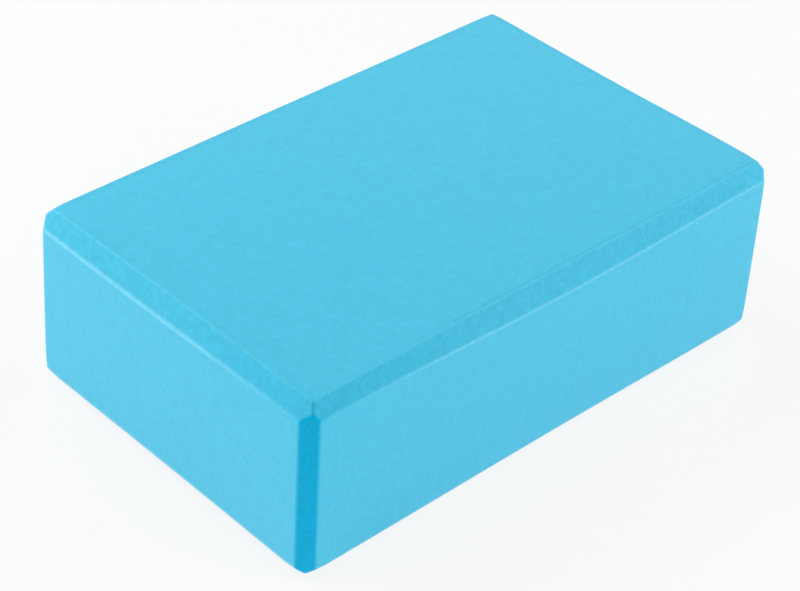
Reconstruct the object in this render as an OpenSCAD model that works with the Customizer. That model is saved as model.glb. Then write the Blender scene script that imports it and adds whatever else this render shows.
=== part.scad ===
// Foam block: a brick of closed-cell EVA foam, cut from a thick slab. It is one solid piece,
// with no skin and no core.
// A bevel is routed along all twelve edges. Each pass of the cutter runs the whole length
// of its edge, so three bevels meet in mitres at every corner, and the foam is left with a
// soft arris on both sides of each bevel.
// Millimetres. The block lies on one of its two largest faces, with its length along X and
// its width along Y. The origin is the middle of the face that it rests on.

/* [Block] */
// Length of the block, along X
block_length = 230; // [120:1:320]
// Width of the block, along Y
block_width = 150; // [80:1:220]
// Thickness of the block, along Z
block_height = 76; // [40:1:120]

/* [Routed edges] */
// Setback of the bevel round the top face and round the bottom face
rim_bevel = 5.8; // [4:0.1:10]
// Setback of the bevel down the four upright edges
upright_bevel = 5.2; // [4:0.1:10]
// Radius of the soft arris on each side of a bevel
arris_radius = 2.5; // [0.5:0.1:5]

/* [Hidden] */
// Facets of a full circle, where a preview draws an arc
$fn = 96;
// How far a pass of the cutter reaches past the faces on both sides of its edge
overrun = 3;
// Half of the inner angle between a face and its 45 degree bevel
half_arris = (180 - 45) / 2;
// An arris arc would be tangent to the face and to the bevel. Its centre is set this much
// of an angle shallower, so that it crosses both of them cleanly.
arc_lift = 4;
// From the sharp line of an arris to the centre of its arc
arc_depth = arris_radius * cos(arc_lift) / sin(half_arris);
// Half width of the foam that the arc takes off
arc_reach = arc_depth * cos(half_arris) * sin(half_arris);

// Foam that comes off one sharp arris, seen along it. The sharp line is at the origin, and
// the foam lies below it, on both sides of the Y axis.
module arris_waste() {
    difference() {
        translate([-arc_reach, -arc_reach])
            square([2 * arc_reach, arc_reach + arris_radius / 2]);
        translate([0, -arc_depth]) circle(r = arris_radius);
    }
}

// Foam that one pass takes off a square edge, seen along the edge. The edge is at the
// origin, and the foam fills the quarter where X and Y are negative.
module pass_waste(bevel) {
    polygon([[-bevel, 0], [0, -bevel], [overrun, -bevel], [overrun, overrun], [-bevel, overrun]]);
    translate([-bevel, 0]) rotate(half_arris - 90) arris_waste();
    translate([0, -bevel]) rotate(-half_arris) arris_waste();
}

// Section of a bar with the same pass run down each of its four edges
module bevelled_section(across, up, bevel) {
    difference() {
        square([across, up], center = true);
        translate([across / 2, up / 2]) pass_waste(bevel);
        translate([-across / 2, up / 2]) rotate(90) pass_waste(bevel);
        translate([-across / 2, -up / 2]) rotate(180) pass_waste(bevel);
        translate([across / 2, -up / 2]) rotate(270) pass_waste(bevel);
    }
}

// The slab after the passes along its four long edges
module long_passes() {
    rotate([90, 0, 90])
        linear_extrude(block_length, center = true)
            bevelled_section(block_width, block_height, rim_bevel);
}

// The slab after the passes along the four edges of its two ends, above and below
module end_passes() {
    rotate([90, 0, 0])
        linear_extrude(block_width, center = true)
            bevelled_section(block_length, block_height, rim_bevel);
}

// The slab after the passes down its four upright edges
module upright_passes() {
    linear_extrude(block_height, center = true)
        bevelled_section(block_length, block_width, upright_bevel);
}

// The block is the foam that all twelve passes leave
module foam_block() {
    color("#41bade")
        translate([0, 0, block_height / 2])
            intersection() {
                long_passes();
                end_passes();
                upright_passes();
            }
}

foam_block();
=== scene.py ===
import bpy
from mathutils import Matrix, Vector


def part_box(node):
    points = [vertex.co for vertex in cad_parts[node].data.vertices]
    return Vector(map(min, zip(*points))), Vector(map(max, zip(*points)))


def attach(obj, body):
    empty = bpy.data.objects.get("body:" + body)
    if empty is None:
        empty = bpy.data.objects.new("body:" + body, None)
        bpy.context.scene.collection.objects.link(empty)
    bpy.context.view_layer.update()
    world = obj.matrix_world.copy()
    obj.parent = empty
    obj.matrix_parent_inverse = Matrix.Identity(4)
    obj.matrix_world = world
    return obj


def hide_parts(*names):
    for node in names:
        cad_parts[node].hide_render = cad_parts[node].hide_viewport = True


bl_info = {
    "name": "Foam block",
    "version": (1, 0, 0),
    "blender": (4, 5, 0),
    "location": "View3D > Sidebar > Foam block",
    "description": "A brick of closed-cell EVA foam with routed edges, on a white seamless floor",
    "category": "Object",
}

from itertools import product
from math import atan2, cos, radians, sin, tan

import bmesh
import bpy
from bpy.props import FloatProperty, FloatVectorProperty, PointerProperty
from mathutils import Quaternion, Vector

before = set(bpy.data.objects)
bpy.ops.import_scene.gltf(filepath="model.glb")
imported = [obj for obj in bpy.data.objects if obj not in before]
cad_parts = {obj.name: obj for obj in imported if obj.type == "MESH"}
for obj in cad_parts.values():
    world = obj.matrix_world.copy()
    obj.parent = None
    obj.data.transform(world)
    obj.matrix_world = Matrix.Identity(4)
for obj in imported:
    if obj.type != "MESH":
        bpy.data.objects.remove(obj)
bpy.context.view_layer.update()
MM = 0.001

# The slab that the block is routed from.
LOW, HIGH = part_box("foam_block")
MIDDLE, HALF = (LOW + HIGH) / 2, (HIGH - LOW) / 2

# ---------------------------------------------------------------- how this block was cut and worn, and where shade and highlights are painted on it

# The corners where the router started and ended its lap, as signs of x, y and z.
LAP_CORNERS = (Vector((-1, -1, 1)), Vector((1, 1, -1)))
# How far the corners of the slab stand out of true, in mm, by the signs of x, y and z.
OUT_OF_TRUE = {
    (-1, 1, 1): (0.0, -0.7, 0.0),
    (-1, 1, -1): (-0.7, 0.7, 0.0),
    (1, 1, 1): (-0.9, 0.0, 0.0),
    (1, -1, 1): (0.0, 0.0, 0.9),
    (1, -1, -1): (-0.5, -0.8, 0.0),
    (-1, -1, 1): (0.0, 0.0, -0.4),
    (-1, -1, -1): (-0.35, -0.3, 0.0),
}
# How much wider, in mm, a bevel round the top has come out at the low and the high end of its pass than
# it was set: first on the top, then on the wall below it. A pass is named by its wall, as the axis that
# the wall faces and the sign of that axis.
DRIFT = {
    (0, -1): ((0.2, -0.3), (0.5, 1.6)),
    (0, 1): ((-0.7, -0.4), (0.0, 0.0)),
    (1, -1): ((-0.55, -1.3), (-0.3, 1.2)),
}
NO_DRIFT = ((0.0, 0.0), (0.0, 0.0))
# The inner end of a lap's mitre stands aside by this share of what its outer end does.
INNER_SHIFT = 0.3
# How much wider, in mm, a bevel down a corner has come out at its foot and at its top than it was set,
# by the signs of x and y.
UPRIGHT_DRIFT = {(-1, 1): (0.3, 1.1)}
# Rubbing a corner blunt moves the foam round it as far as this many rim bevels.
BLUNT_REACH = 1.5
# How strongly a painted highlight lies on an arris round the top or bottom, from 0 to 1, at the bevel's
# foot and at its head, first on the short ends, then on the long sides. The foot is on the wall, and the
# head on the top or bottom face.
HIGHLIGHT_AT_END = (0.95, 0.3)
HIGHLIGHT_AT_SIDE = (0.7, 0.0)
# The outer rows of an arris take only this share of its painted highlight, so that it fades out.
HIGHLIGHT_FADE = 0.4
# Where a lap starts, an arris takes only this share of its painted highlight.
LEAST_HIGHLIGHT = 0.2
# Painted shade lies on the rim bevels where a lap starts, and fades out over this distance.
LAP_SHADE_REACH = 80 * MM
# The share of the upright bevels' painted shade colour that a rim bevel takes where a lap starts.
LAP_SHADE_SHARE = 0.25

# ---------------------------------------------------------------- how points and faces are told apart

# Points and planes closer than this are in the same place.
TOUCH = 0.01 * MM
# A point this far inside the faces of the slab is wholly on a bevel.
ROUTED_DEPTH = 0.3 * MM
# All of a routed corner is this near to where its three flat faces would meet.
CORNER_REACH = 8.5 * MM
# The grid on the flat faces stops this far from the mitres.
MITRE_MARGIN = 5 * MM
# A face points along an axis if more than this share of its normal does.
POINTS_ALONG = 0.3
# A level face has more than this share of its normal up or down.
LEVEL = 0.9999
# Points that face up or down by less than this are on the arris at a bevel's foot.
FOOT_TILT = radians(39)
# A point faces both ways if x and y both have more than this share of its normal.
BOTH_WAYS = 0.15
# A sharp line is where two faces meet at more than this.
SHARP = radians(20)
# Lines that turn by less than this are shaded smooth.
SMOOTH = radians(40)


def linear(hex_colour):
    """An sRGB hex colour as linear red, green, blue and alpha."""
    channels = [int(hex_colour[i:i + 2], 16) / 255 for i in (1, 3, 5)]
    return [c / 12.92 if c <= 0.04045 else ((c + 0.055) / 1.055) ** 2.4 for c in channels] + [1.0]


def length(name, description, millimetres, least, most):
    """A length setting, whose default and limits are given in millimetres."""
    return FloatProperty(name=name, description=description, default=millimetres * MM,
                         min=least * MM, max=most * MM, unit="LENGTH", precision=5)


def colour(name, description, hex_colour):
    """A colour setting, whose default is given in sRGB hex."""
    return FloatVectorProperty(name=name, description=description, default=linear(hex_colour),
                               subtype="COLOR", size=4, min=0, max=1)


class FoamBlockSettings(bpy.types.PropertyGroup):
    """Sizes and colours of the foam block."""

    rim_bevel: length("Rim bevel", "Setback of the bevels round the top and bottom faces", 5.3, 4, 10)
    upright_bevel: length("Upright bevel", "Setback of the bevels down the four corners", 4.9, 4, 10)
    side_bow: length("Side bow", "How much further down a long side a bevel reaches mid-length", 2.4, 0, 3)
    side_top_bow: length(
        "Side top bow", "How much further into the top a long side's bevel reaches mid-length", 0.0, 0, 3)
    end_bow: length("End bow", "How much further down a short end a bevel reaches mid-width", 0.7, 0, 3)
    end_top_bow: length(
        "End top bow", "How much further into the top a short end's bevel reaches mid-width", 0.3, 0, 3)
    lap_shift: length("Lap shift", "How far the mitre stands aside where a lap starts and ends", 0.95, 0, 2)
    blunting: length("Blunting", "How far the corners without a lap are rubbed back", 0.6, 0, 1.5)
    side_arris: length("Side arris", "Radius between a rim bevel and the long side below it", 2.6, 0.3, 5)
    end_arris: length("End arris", "Radius between a rim bevel and the short end below it", 3.6, 0.3, 5)
    face_arris: length("Face arris", "Radius between a rim bevel and the top or bottom face", 1.0, 0.3, 5)
    upright_arris: length("Upright arris", "Radius on both sides of an upright bevel", 2.3, 0.3, 5)
    mitre_arris: length("Mitre arris", "Radius where two bevels meet in a mitre", 2.0, 0.2, 3)
    score_inset: length("Score inset", "From the arris to the line that the cutter scored", 0.7, 0.1, 3)
    score_slope: length("Score slope", "Width of the score line's gentle outer side", 0.8, 0.1, 3)
    score_wall: length("Score wall", "Width of the score line's steep inner side", 0.3, 0.1, 3)
    score_depth: length("Score depth", "Depth of the score line", 0.1, 0.02, 1)
    deep_score: length("Deep score", "Extra depth of the line on the side where the lap ended", 0.13, 0, 1)
    deep_start: length("Deep start", "From the lap's corner to where the line is deeper", 70.0, 0, 200)
    slit_width: length("Slit width", "Width of the slit where two passes cross in a mitre", 0.8, 0.3, 2)
    slit_depth: length("Slit depth", "Depth of the slit where two passes cross in a mitre", 0.55, 0.2, 2)
    skew_reach: length("Skew reach", "How far a corner that stands aside pulls the slab", 110.0, 50, 200)
    mesh_step: length("Mesh step", "Spacing of the mesh on the flat faces", 5.0, 2, 20)
    face_colour: colour("Sliced face", "The faces that the slab was sliced to", "#4BC5E7")
    rim_colour: colour("Rim bevel", "The rim bevels, where the cutter opened the cells", "#49BDE0")
    # The upright bevels' deeper, darker blue is painted shade.
    upright_shade_colour: colour("Upright bevel", "The bevels down the corners, cut cleaner", "#00B8EA")
    # The arrises' pale colour is a painted highlight.
    arris_highlight_colour: colour("Rubbed arris", "The arrises, rubbed pale by handling", "#7FD5F0")


class FoamStageSettings(bpy.types.PropertyGroup):
    """Camera and floor."""

    azimuth: FloatProperty(name="Azimuth", description="Turn of the camera round the block",
                           default=radians(-44.75), subtype="ANGLE")
    elevation: FloatProperty(name="Elevation", description="Height of the camera above the floor",
                             default=radians(36.9), subtype="ANGLE")
    roll: FloatProperty(name="Roll", description="Tilt of the camera about its own line of sight",
                        default=radians(3.38), subtype="ANGLE")
    distance: length("Distance", "From the camera to the point that it looks at", 881.0, 300, 3000)
    aim: FloatVectorProperty(name="Aim", description="Point at half height that the camera looks at",
                             subtype="XYZ", size=3, default=(-0.0137, -0.01055, 0.038), precision=5)
    lens: FloatProperty(name="Lens", description="Focal length in millimetres, on a 36 mm frame",
                        default=108.0, min=20, max=300)
    floor_colour: colour("Floor colour", "The paper of the floor", "#F0F0F0")
    floor_white: FloatProperty(name="Floor white", description="Share of pure white in the floor as seen",
                               default=0.85, min=0, max=1, subtype="FACTOR")


# ---------------------------------------------------------------- selecting and cutting

def select_only(piece):
    """Deselect everything, then select one object and make it active."""
    bpy.ops.object.select_all(action="DESELECT")
    piece.select_set(True)
    bpy.context.view_layer.objects.active = piece


def pick(piece, kind, wanted):
    """In edit mode, select the points, edges or faces that wanted(element) picks. There must be some."""
    bpy.ops.mesh.select_mode(type={"verts": "VERT", "edges": "EDGE", "faces": "FACE"}[kind])
    bpy.ops.mesh.select_all(action="DESELECT")
    mesh = bmesh.from_edit_mesh(piece.data)
    picked = [element for element in getattr(mesh, kind) if wanted(element)]
    if not picked:
        raise RuntimeError(f"the block has none of the {kind} that a step shapes")
    for element in picked:
        element.select_set(True)
    mesh.select_flush_mode()
    bmesh.update_edit_mesh(piece.data)


def cut(point, normal, remove):
    """Cut the whole mesh along a plane. Where remove is set, what lies beyond it is cut away."""
    bpy.ops.mesh.select_all(action="SELECT")
    bpy.ops.mesh.bisect(plane_co=point, plane_no=normal, use_fill=remove, clear_outer=remove,
                        threshold=1e-6)


# ---------------------------------------------------------------- the block

def rout_bevels(settings):
    """One straight pass of the router along each of the twelve edges."""
    rim = settings.rim_bevel
    for side, face in product((-1, 1), repeat=2):
        for axis in (0, 1):
            normal = Vector((0, 0, face))
            normal[axis] = side
            point = MIDDLE + Vector((0, 0, face * (HALF.z - rim)))
            point[axis] += side * HALF[axis]
            cut(point, normal, remove=True)
        # A bevel down a corner leans back if it has come out wider at its top than at its foot.
        wider = UPRIGHT_DRIFT.get((side, face), (0.0, 0.0))
        setback = settings.upright_bevel + wider[0] * MM
        lean = (wider[1] - wider[0]) * MM / (2 * HALF.z)
        foot = MIDDLE + Vector((side * HALF.x, face * (HALF.y - setback), -HALF.z))
        cut(foot, Vector((side, face, lean)), remove=True)


def cut_stations(settings):
    """Cut the flat faces into a grid, so that they can be shaped. It stops short of the mitres."""
    margin = settings.rim_bevel + MITRE_MARGIN
    for axis in range(3):
        reach = (HIGH - LOW)[axis] / 2 - margin
        count = 2 * round(reach / settings.mesh_step)
        normal = Vector((0, 0, 0))
        normal[axis] = 1
        for k in range(count + 1):
            point = MIDDLE.copy()
            point[axis] += reach * (2 * k / count - 1)
            cut(point, normal, remove=False)


def push_line(piece, on_line, outward, bow, drift):
    """Push one line of points with proportional moves: by bow in its middle, by drift at its ends."""
    pick(piece, "verts", on_line)
    bpy.ops.mesh.hide(unselected=True)
    mesh = bmesh.from_edit_mesh(piece.data)
    places = [v.co.copy() for v in mesh.verts if not v.hide]
    along = max(range(3), key=lambda axis: max(p[axis] for p in places) - min(p[axis] for p in places))
    start = min(p[along] for p in places)
    span = max(p[along] for p in places) - start
    for share, push, reach in ((0.5, bow, span / 2), (0, drift[0] * MM, span), (1, drift[1] * MM, span)):
        if not push:
            continue
        bpy.ops.mesh.select_all(action="DESELECT")
        mesh = bmesh.from_edit_mesh(piece.data)
        shown = [v for v in mesh.verts if not v.hide]
        min(shown, key=lambda v: abs(v.co[along] - start - share * span)).select_set(True)
        mesh.select_flush_mode()
        bmesh.update_edit_mesh(piece.data)
        bpy.ops.transform.translate(value=push * outward, use_proportional_edit=True,
                                    proportional_edit_falloff="SMOOTH", proportional_size=reach)
    bpy.ops.mesh.reveal(select=False)


def bow_bevels(piece, settings):
    """Round the top, the cutter sank deeper mid-length and wandered from end to end."""
    rim = settings.rim_bevel
    for axis, wall_bow, top_bow in ((1, settings.side_bow, settings.side_top_bow),
                                    (0, settings.end_bow, settings.end_top_bow)):
        for side in (-1, 1):
            wall = MIDDLE[axis] + side * HALF[axis]
            top_drift, wall_drift = DRIFT.get((axis, side), NO_DRIFT)

            def on_wall(v):
                return abs(v.co[axis] - wall) < TOUCH and abs(v.co.z - (HIGH.z - rim)) < TOUCH

            def on_top(v):
                return abs(v.co.z - HIGH.z) < TOUCH and abs(v.co[axis] - (wall - side * rim)) < TOUCH

            inward = Vector((0, 0, 0))
            inward[axis] = -side
            push_line(piece, on_wall, Vector((0, 0, -1)), wall_bow, wall_drift)
            push_line(piece, on_top, inward, top_bow, top_drift)


def lap_mitre(settings, corner, shift):
    """Both ends of the mitre at a corner: on the top or bottom face, and where three bevels meet."""
    rim, upright = settings.rim_bevel, settings.upright_bevel
    flat = Vector((corner.x, corner.y, 0))
    inner = MIDDLE + corner * HALF - flat * rim
    if corner.z > 0:
        for axis in (0, 1):
            drift = DRIFT.get((axis, corner[axis]), NO_DRIFT)[0]
            inner[axis] -= corner[axis] * drift[corner[1 - axis] > 0] * MM
    outer = MIDDLE + corner * HALF - flat * upright / 2
    outer.z -= corner.z * (rim - upright / 2)
    aside = Vector((-corner.y, corner.x, 0)).normalized()
    return inner + INNER_SHIFT * aside * shift, outer + aside * shift


def shift_laps(piece, settings):
    """Each rim is routed in one lap. The end of the lap cuts a little deeper than its start."""
    # No other point of the routed slab is this near to an end of the mitre.
    near = settings.upright_bevel / 4
    for corner in LAP_CORNERS:
        plain = lap_mitre(settings, corner, 0)
        moved = lap_mitre(settings, corner, settings.lap_shift)
        for start, end in zip(plain, moved):
            pick(piece, "verts", lambda v: (v.co - start).length < near)
            bpy.ops.transform.translate(value=end - start)


def facing(face):
    """What a face of the block is, by the axes that it points along."""
    x, y, z = (abs(share) > POINTS_ALONG for share in face.normal)
    if z:
        return "rim" if x or y else "face"
    if x and y:
        return "upright"
    return "end" if x else "side"


def round_arrises(piece, settings):
    """Round every sharp line, each kind to its own radius."""
    # A bevel meets a flat face at 45 degrees, and another bevel at 60. The rounding starts at its
    # radius times the tangent of half that angle from the line.
    square, mitred = tan(radians(45) / 2), tan(radians(60) / 2)
    offsets = {
        ("face", "rim"): settings.face_arris * square,
        ("rim", "side"): settings.side_arris * square,
        ("end", "rim"): settings.end_arris * square,
        ("side", "upright"): settings.upright_arris * square,
        ("end", "upright"): settings.upright_arris * square,
        ("rim", "rim"): settings.mitre_arris * mitred,
        ("rim", "upright"): settings.mitre_arris * mitred,
    }
    widest = max(offsets.values())
    for kinds, offset in offsets.items():
        pick(piece, "edges", lambda e: len(e.link_faces) == 2 and e.calc_face_angle() > SHARP
             and tuple(sorted(map(facing, e.link_faces))) == kinds)
        bpy.ops.transform.edge_bevelweight(value=offset / widest)
    bpy.ops.object.mode_set(mode="OBJECT")
    # The faces of the arrises get the second slot, by which paint_cuts_shade_and_highlights finds them.
    piece.data.materials.append(None)
    piece.data.materials.append(None)
    arris = piece.modifiers.new("Arrises", "BEVEL")
    arris.material = 1
    arris.limit_method = "WEIGHT"
    arris.offset_type = "OFFSET"
    arris.width = widest
    arris.segments = 4
    arris.use_clamp_overlap = False
    bpy.ops.object.modifier_apply(modifier=arris.name)


def score_faces(piece, settings):
    """Score a thin line just inside the arris of the top and bottom, where the cutter's edge ran."""
    pick(piece, "faces", lambda f: abs(f.normal.z) > LEVEL)
    bpy.ops.mesh.inset(thickness=settings.score_inset, depth=0)
    bpy.ops.mesh.inset(thickness=settings.score_slope, depth=-settings.score_depth)
    bpy.ops.mesh.inset(thickness=settings.score_wall, depth=settings.score_depth)
    # The line is deeper only along the long side where the lap ended. There it lies between these.
    near = LOW.y + settings.rim_bevel
    far = near + settings.face_arris + settings.score_inset + settings.score_slope

    def on_deep_score(v):
        at_depth = abs(HIGH.z - v.co.z - settings.score_depth) < settings.score_depth / 2
        return at_depth and near < v.co.y < far and v.co.x > LOW.x + settings.deep_start

    pick(piece, "verts", on_deep_score)
    bpy.ops.transform.translate(value=(0, 0, -settings.deep_score))


def slit_laps(piece, settings):
    """Cut the narrow slit in the mitre where the start and the end of each lap cross."""
    # The cutters are this much longer than the mitres, so that the slits run out at both ends.
    overrun = 2 * MM
    cutters = []
    for corner in LAP_CORNERS:
        inner, outer = lap_mitre(settings, corner, settings.lap_shift)
        along = outer - inner
        bpy.ops.mesh.primitive_cube_add(
            size=1, location=(inner + outer) / 2, rotation=along.to_track_quat("X", "Z").to_euler(),
            scale=(along.length + overrun, settings.slit_width, 2 * settings.slit_depth))
        cutters.append(bpy.context.object)
    for cutter in cutters:
        cutter.select_set(True)
    bpy.ops.object.join()
    cutter = bpy.context.object
    select_only(piece)
    slit = piece.modifiers.new("Lap slits", "BOOLEAN")
    slit.operation = "DIFFERENCE"
    slit.solver = "EXACT"
    slit.object = cutter
    bpy.ops.object.modifier_apply(modifier=slit.name)
    bpy.data.objects.remove(cutter)


def paint_cuts_shade_and_highlights(piece, settings):
    """Store, from 0 to 1, where the cutter has been, where shade is painted on the upright bevels and
    near the start of a lap, and where highlights are painted on the arrises.
    """
    # The corner attribute holds the painted shade, and rubbed the painted highlight.
    routed, corner, rubbed = (piece.data.attributes.new(name, "FLOAT", "POINT")
                              for name in ("routed", "corner", "rubbed"))
    flat, rounded = (set().union(*(f.vertices for f in piece.data.polygons if f.material_index == slot))
                     for slot in (0, 1))
    arrised = rounded - flat
    ends = (set(e.vertices) for e in piece.data.edges)
    outer_rows = set().union(*(pair & arrised for pair in ends if len(pair & arrised) == 1))
    for v in piece.data.vertices:
        inside = [HALF[axis] - abs(v.co[axis] - MIDDLE[axis]) for axis in range(3)]
        routed.data[v.index].value = min(1.0, max(0.0, min(inside) / ROUTED_DEPTH))

        # The upright bevels take all of the painted shade, and the rim bevels near the start of a lap a
        # share of it that fades out.
        at_corner = inside[0] + inside[1] < settings.upright_bevel + settings.upright_arris / 2
        under_mitre = inside[2] > settings.rim_bevel - settings.upright_bevel / 2
        lap_shade = 1 - min((v.co - MIDDLE - end * HALF).length for end in LAP_CORNERS) / LAP_SHADE_REACH
        corner.data[v.index].value = 1.0 if at_corner and under_mitre else max(0.0, LAP_SHADE_SHARE * lap_shade)

        # The arrises beside the upright bevels and the mitres, whose normals turn both ways, get no painted
        # highlight.
        turned, across = sorted((abs(v.normal.x), abs(v.normal.y)))
        if v.index not in arrised or turned > BOTH_WAYS:
            continue
        # The painted highlight is weaker on an arris's outer rows and near the start of a lap, and differs
        # between ends and sides and between foot and head.
        fade = HIGHLIGHT_FADE if v.index in outer_rows else 1.0
        highlight_share = min(1.0, 1 + LEAST_HIGHLIGHT - lap_shade)
        at_foot, at_head = HIGHLIGHT_AT_END if abs(v.normal.x) > abs(v.normal.y) else HIGHLIGHT_AT_SIDE
        most = at_foot if atan2(abs(v.normal.z), across) < FOOT_TILT else at_head
        rubbed.data[v.index].value = fade * highlight_share * most
    # The slots have done their work, and the foam takes their place.
    piece.data.polygons.foreach_set("material_index", [0] * len(piece.data.polygons))
    piece.data.materials.clear()


def blunt_corners(piece, settings):
    """Handling has rubbed every corner blunt, except the two where a lap starts."""
    for signs in product((-1, 1), repeat=3):
        corner = Vector(signs)
        if corner in LAP_CORNERS:
            continue
        tip = lap_mitre(settings, corner, 0)[1]
        pick(piece, "verts", lambda v: (v.co - tip).length < settings.mitre_arris)
        bpy.ops.transform.translate(value=-corner.normalized() * settings.blunting,
                                    use_proportional_edit=True, proportional_edit_falloff="SMOOTH",
                                    proportional_size=BLUNT_REACH * settings.rim_bevel)


def skew_slab(piece, settings):
    """The slab was cut by hand, so some of its corners stand a little out of true. One that stands
    high or low pulls the slab only as far as the slab is high, so that its foot stays flat."""
    for signs, shift in OUT_OF_TRUE.items():
        corner = MIDDLE + Vector(signs) * HALF
        pick(piece, "verts", lambda v: (v.co - corner).length < CORNER_REACH)
        reach = HIGH.z - LOW.z if shift[2] else settings.skew_reach
        bpy.ops.transform.translate(value=Vector(shift) * MM, use_proportional_edit=True,
                                    proportional_edit_falloff="SMOOTH", proportional_size=reach)


def add_node(tree, kind, values=None, links=None, **settings):
    """Add a node, set its own settings and its sockets' values, and link sockets into it."""
    node = tree.nodes.new(kind)
    for name, value in settings.items():
        setattr(node, name, value)
    for socket, value in (values or {}).items():
        node.inputs[socket].default_value = value
    for socket, source in (links or {}).items():
        tree.links.new(source, node.inputs[socket])
    return node


def eva_foam(settings):
    """Closed-cell EVA foam, sliced from a slab and routed. To the eye it is dry and even, with a fine grain
    of cells and a faint broad gloss, darker and rougher where a cutter has opened the cells. Painted shade
    darkens the upright bevels and the rim bevels near the start of a lap, and smoother painted highlights
    lie pale on the arrises."""
    material = bpy.data.materials.new("EVA foam, sliced and routed")
    material.use_nodes = True
    tree = material.node_tree
    tree.nodes.clear()
    place = add_node(tree, "ShaderNodeTexCoord").outputs["Object"]
    # The corner attribute holds the painted shade, and rubbed the painted highlight.
    routed, corner, rubbed = (add_node(tree, "ShaderNodeAttribute", attribute_name=name).outputs["Fac"]
                              for name in ("routed", "corner", "rubbed"))

    # The dye is a little uneven from one clump of cells to the next, about 3 mm across.
    clumps = add_node(tree, "ShaderNodeTexNoise",
                      {"Scale": 1 / (3 * MM), "Detail": 3.0, "Roughness": 0.9}, {"Vector": place})
    # The cells are 0.1 to 0.3 mm across, and drawn 0.8 mm across so that they show as a fine grain.
    cells = add_node(tree, "ShaderNodeTexVoronoi", {"Scale": 1 / (0.8 * MM)}, {"Vector": place})
    # A few cells are blown larger, about 10 mm apart all through the foam. Where a face cuts one open,
    # about every 30 mm, it shows as a pinhole up to 1 mm across.
    holes = add_node(tree, "ShaderNodeTexVoronoi", {"Scale": 1 / (10 * MM)}, {"Vector": place})
    hole = add_node(tree, "ShaderNodeMapRange",
                    {"From Min": 0.02, "From Max": 0.05, "To Min": 1.0, "To Max": 0.0},
                    {"Value": holes.outputs["Distance"]})

    # The upright bevels, and the rim bevels near the start of a lap, take a painted shade: a deeper, darker
    # blue.
    # Inputs 6 and 7 of a colour mix are its two colours.
    cut_and_shade_colour = add_node(tree, "ShaderNodeMix", {6: settings.rim_colour, 7: settings.upright_shade_colour},
                          {"Factor": corner}, data_type="RGBA").outputs[2]
    colour_under_highlight = add_node(tree, "ShaderNodeMix", {6: settings.face_colour},
                            {"Factor": routed, 7: cut_and_shade_colour}, data_type="RGBA").outputs[2]
    # The arrises take a pale painted highlight.
    highlit_colour = add_node(tree, "ShaderNodeMix", {7: settings.arris_highlight_colour},
                           {"Factor": rubbed, 6: colour_under_highlight}, data_type="RGBA").outputs[2]
    # The clumps show half as much again on the routed bevels.
    amount = add_node(tree, "ShaderNodeMapRange", {"To Min": 0.3, "To Max": 0.46}, {"Value": routed})
    uneven = add_node(tree, "ShaderNodeMath", {1: 0.5}, {0: clumps.outputs["Fac"]}, operation="SUBTRACT")
    shade = add_node(tree, "ShaderNodeMath", {2: 1.0},
                     {0: uneven.outputs[0], 1: amount.outputs[0]}, operation="MULTIPLY_ADD")
    # This colour holds the painted shade and the painted highlights as well as the dye.
    dyed = add_node(tree, "ShaderNodeVectorMath", links={0: highlit_colour, 1: shade.outputs[0]},
                    operation="MULTIPLY").outputs[0]
    # Sliced foam has a faint gloss, routed foam is matt, and the arrises under the painted highlights are
    # smoother still.
    rough = add_node(tree, "ShaderNodeMapRange", {"To Min": 0.35, "To Max": 0.6}, {"Value": routed})
    rough = add_node(tree, "ShaderNodeMapRange", {"To Max": 0.28},
                     {"Value": rubbed, "To Min": rough.outputs[0]})

    # The routed bevels are open and rough: their cells stand twice as deep as on the sliced faces.
    depth = add_node(tree, "ShaderNodeMapRange", {"To Min": 0.5, "To Max": 1.0}, {"Value": routed})
    grain = add_node(tree, "ShaderNodeMath", links={0: cells.outputs["Distance"], 1: depth.outputs[0]},
                     operation="MULTIPLY")
    height = add_node(tree, "ShaderNodeMath", {1: -1.0}, {0: hole.outputs[0], 2: grain.outputs[0]},
                      operation="MULTIPLY_ADD")
    # A height of 1 stands for 0.1 mm, which is how deep a pinhole is.
    bump = add_node(tree, "ShaderNodeBump", {"Strength": 1.0, "Distance": 0.1 * MM},
                    {"Height": height.outputs[0]})
    # Solid EVA has an IOR of 1.48, and its cut cells mirror less. What glints is mostly light from just
    # inside the cell walls, which takes on the dye, so the gloss is tinted. A low sheen stands for the
    # torn edges of the cells, which catch light from the side.
    shader = add_node(tree, "ShaderNodeBsdfPrincipled",
                      {"IOR": 1.36, "Specular Tint": (0.15, 1.0, 1.0, 1.0), "Sheen Weight": 0.25,
                       "Sheen Roughness": 0.4},
                      {"Base Color": dyed, "Roughness": rough.outputs[0], "Normal": bump.outputs[0]})
    add_node(tree, "ShaderNodeOutputMaterial", links={"Surface": shader.outputs[0]})
    return material


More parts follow.
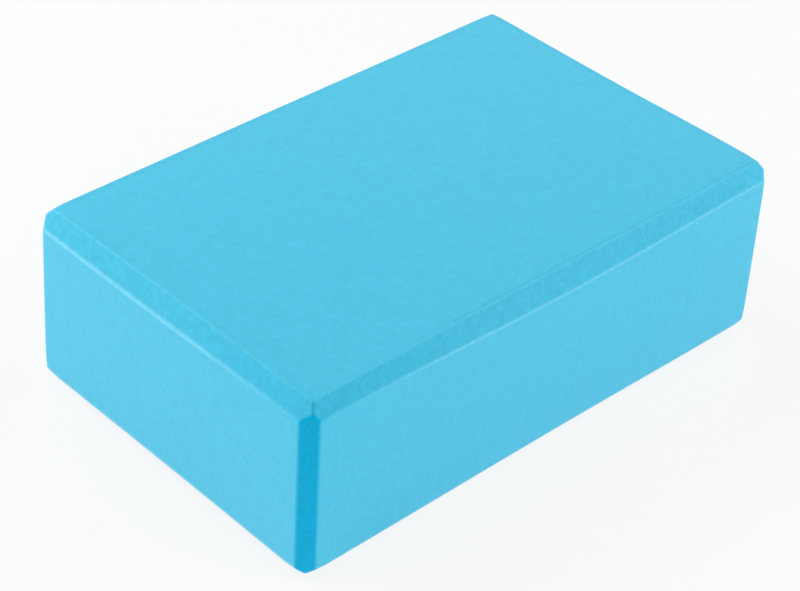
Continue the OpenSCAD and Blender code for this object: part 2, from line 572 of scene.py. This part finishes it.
class FOAM_OT_block(bpy.types.Operator):
    """Model the foam block: a slab, twelve router passes, soft arrises and foam."""

    bl_idname = "foam.block"
    bl_label = "Foam block"

    def execute(self, context):
        settings = context.scene.foam_block
        bpy.ops.object.select_all(action="DESELECT")
        bpy.ops.mesh.primitive_cube_add(size=1, location=MIDDLE, scale=HIGH - LOW)
        block = context.object
        block.name = block.data.name = "foam_brick"
        bpy.ops.object.transform_apply(location=True, rotation=True, scale=True)
        bpy.ops.object.mode_set(mode="EDIT")
        rout_bevels(settings)
        cut_stations(settings)
        bow_bevels(block, settings)
        shift_laps(block, settings)
        round_arrises(block, settings)
        bpy.ops.object.mode_set(mode="EDIT")
        score_faces(block, settings)
        bpy.ops.object.mode_set(mode="OBJECT")
        slit_laps(block, settings)
        paint_cuts_shade_and_highlights(block, settings)
        select_only(block)
        bpy.ops.object.mode_set(mode="EDIT")
        blunt_corners(block, settings)
        skew_slab(block, settings)
        bpy.ops.object.mode_set(mode="OBJECT")
        bpy.ops.object.shade_smooth_by_angle(angle=SMOOTH)
        normals = block.modifiers.new("Flat faces", "WEIGHTED_NORMAL")
        normals.keep_sharp = True
        bpy.ops.object.modifier_apply(modifier=normals.name)
        block.data.materials.append(eva_foam(settings))
        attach(block, "root")
        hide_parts("foam_block")
        return {"FINISHED"}


# ---------------------------------------------------------------- floor, light and camera

# Each lamp's name, its turn from +X and its height above the floor in degrees, the side of its square
# in metres, and its power in watts.
SOFTBOXES = (
    ("left softbox", 118, 38, 1.1, 12.8),
    ("left strip", 145, 8, 0.45, 3.7),
    ("right softbox", -37, 35, 1.4, 12.8),
    ("right strip", -85, 8, 0.45, 2.0),
    ("front strip", -135, 8, 0.45, 2.5),
)
# From the middle of the block to each lamp, in metres.
LAMP_DISTANCE = 1.2


def add_camera(stage):
    """The camera, aimed at the block from its front left corner."""
    back = Vector((sin(stage.azimuth) * cos(stage.elevation),
                   -cos(stage.azimuth) * cos(stage.elevation), sin(stage.elevation)))
    turn = (-back).to_track_quat("-Z", "Y") @ Quaternion((0, 0, 1), stage.roll)
    bpy.ops.object.camera_add(location=Vector(stage.aim) + back * stage.distance,
                              rotation=turn.to_euler())
    camera = bpy.context.object
    camera.data.lens = stage.lens
    camera.data.sensor_width = 36
    camera.data.clip_start = 0.05
    camera.data.clip_end = 20
    bpy.context.scene.camera = camera


def seen(tree):
    """1 for rays from the camera and for those that gloss or glass sends on, and 0 for the rest."""
    path = add_node(tree, "ShaderNodeLightPath")
    gloss = add_node(tree, "ShaderNodeMath", links={0: path.outputs["Is Camera Ray"],
                                                    1: path.outputs["Is Glossy Ray"]}, operation="MAXIMUM")
    glass = add_node(tree, "ShaderNodeMath", links={0: gloss.outputs[0],
                                                    1: path.outputs["Is Transmission Ray"]},
                     operation="MAXIMUM")
    return glass.outputs[0]


def add_floor(stage):
    """A floor of white paper, 6 m square, which is seen nearly pure white but keeps the shadow."""
    bpy.ops.mesh.primitive_plane_add(size=6)
    floor = bpy.context.object
    floor.name = "floor"
    material = bpy.data.materials.new("White seamless paper")
    material.use_nodes = True
    tree = material.node_tree
    tree.nodes.clear()
    paper = add_node(tree, "ShaderNodeBsdfDiffuse", {"Color": stage.floor_colour})
    white = add_node(tree, "ShaderNodeEmission", {"Strength": 1.0})
    share = add_node(tree, "ShaderNodeMath", {1: stage.floor_white}, {0: seen(tree)}, operation="MULTIPLY")
    mix = add_node(tree, "ShaderNodeMixShader", links={0: share.outputs[0], 1: paper.outputs[0],
                                                       2: white.outputs[0]})
    add_node(tree, "ShaderNodeOutputMaterial", links={"Surface": mix.outputs[0]})
    floor.data.materials.append(material)


def add_softbox(name, turn, height, size, power):
    """A square softbox that faces the middle of the block."""
    turn, height = radians(turn), radians(height)
    away = Vector((cos(turn) * cos(height), sin(turn) * cos(height), sin(height)))
    bpy.ops.object.light_add(type="AREA", location=MIDDLE + LAMP_DISTANCE * away,
                             rotation=away.to_track_quat("Z", "Y").to_euler())
    light = bpy.context.object
    light.name = name
    light.data.shape = "SQUARE"
    light.data.size = size
    light.data.energy = power


def add_world(scene):
    """A white studio, which is seen pure white and lights the block only a little."""
    world = bpy.data.worlds.new("Studio")
    world.use_nodes = True
    tree = world.node_tree
    strength = add_node(tree, "ShaderNodeMapRange", {"To Min": 0.1, "To Max": 1.0}, {"Value": seen(tree)})
    background = tree.nodes["Background"]
    background.inputs["Color"].default_value = (1, 1, 1, 1)
    tree.links.new(strength.outputs[0], background.inputs["Strength"])
    scene.world = world


class FOAM_OT_stage(bpy.types.Operator):
    """Add the floor, the soft lights and the camera."""

    bl_idname = "foam.stage"
    bl_label = "Stage"

    def execute(self, context):
        stage = context.scene.foam_stage
        add_floor(stage)
        for softbox in SOFTBOXES:
            add_softbox(*softbox)
        add_world(context.scene)
        context.scene.view_settings.view_transform = "Standard"
        add_camera(stage)
        return {"FINISHED"}


class FOAM_PT_panel(bpy.types.Panel):
    """The block's and the stage's settings, each under its own button."""

    bl_label = "Foam block"
    bl_space_type = "VIEW_3D"
    bl_region_type = "UI"
    bl_category = "Foam block"

    def draw(self, context):
        for operator, settings in ((FOAM_OT_block, context.scene.foam_block),
                                   (FOAM_OT_stage, context.scene.foam_stage)):
            self.layout.operator(operator.bl_idname)
            for name in settings.bl_rna.properties.keys():
                if name not in ("rna_type", "name"):
                    self.layout.prop(settings, name)


CLASSES = (FoamBlockSettings, FoamStageSettings, FOAM_OT_block, FOAM_OT_stage, FOAM_PT_panel)


def register():
    for cls in CLASSES:
        bpy.utils.register_class(cls)
    bpy.types.Scene.foam_block = PointerProperty(type=FoamBlockSettings)
    bpy.types.Scene.foam_stage = PointerProperty(type=FoamStageSettings)


def unregister():
    del bpy.types.Scene.foam_stage
    del bpy.types.Scene.foam_block
    for cls in reversed(CLASSES):
        bpy.utils.unregister_class(cls)


def main():
    register()
    bpy.ops.foam.block()
    bpy.ops.foam.stage()


if __name__ == "__main__":
    main()
